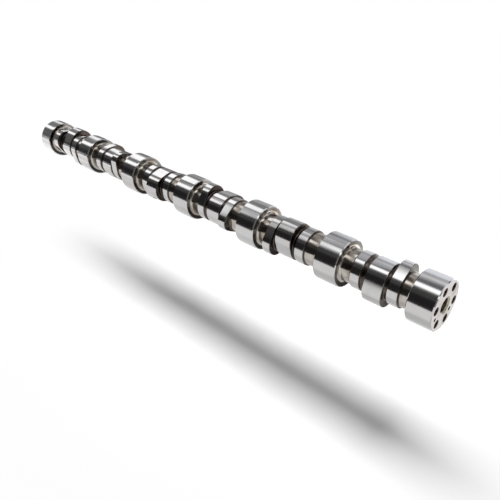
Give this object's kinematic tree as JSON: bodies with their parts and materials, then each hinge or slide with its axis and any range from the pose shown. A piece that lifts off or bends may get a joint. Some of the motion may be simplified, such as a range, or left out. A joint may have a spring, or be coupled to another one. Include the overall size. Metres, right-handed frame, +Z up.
{
  "type": "camshaft",
  "caption": "Forged and ground steel camshaft with bearing journals, groups of valve and injector lobes, and a drive face with tapped holes, dowel holes and a pilot bore.",
  "frame": {"origin": "middle of the drive face", "axes": "+X points out of the drive face along the shaft, +Z is up in the picture's pose, and the nose of the first exhaust lobe points 22 degrees from +Z away from -Y"},
  "size_m": [1.1083, 0.085, 0.085],
  "materials": {
    "ground_steel": "ground and polished journals and lobes, with dark turned necks"
  },
  "bodies": {
    "root": {"camshaft": "ground_steel"}
  },
  "joints": []
}
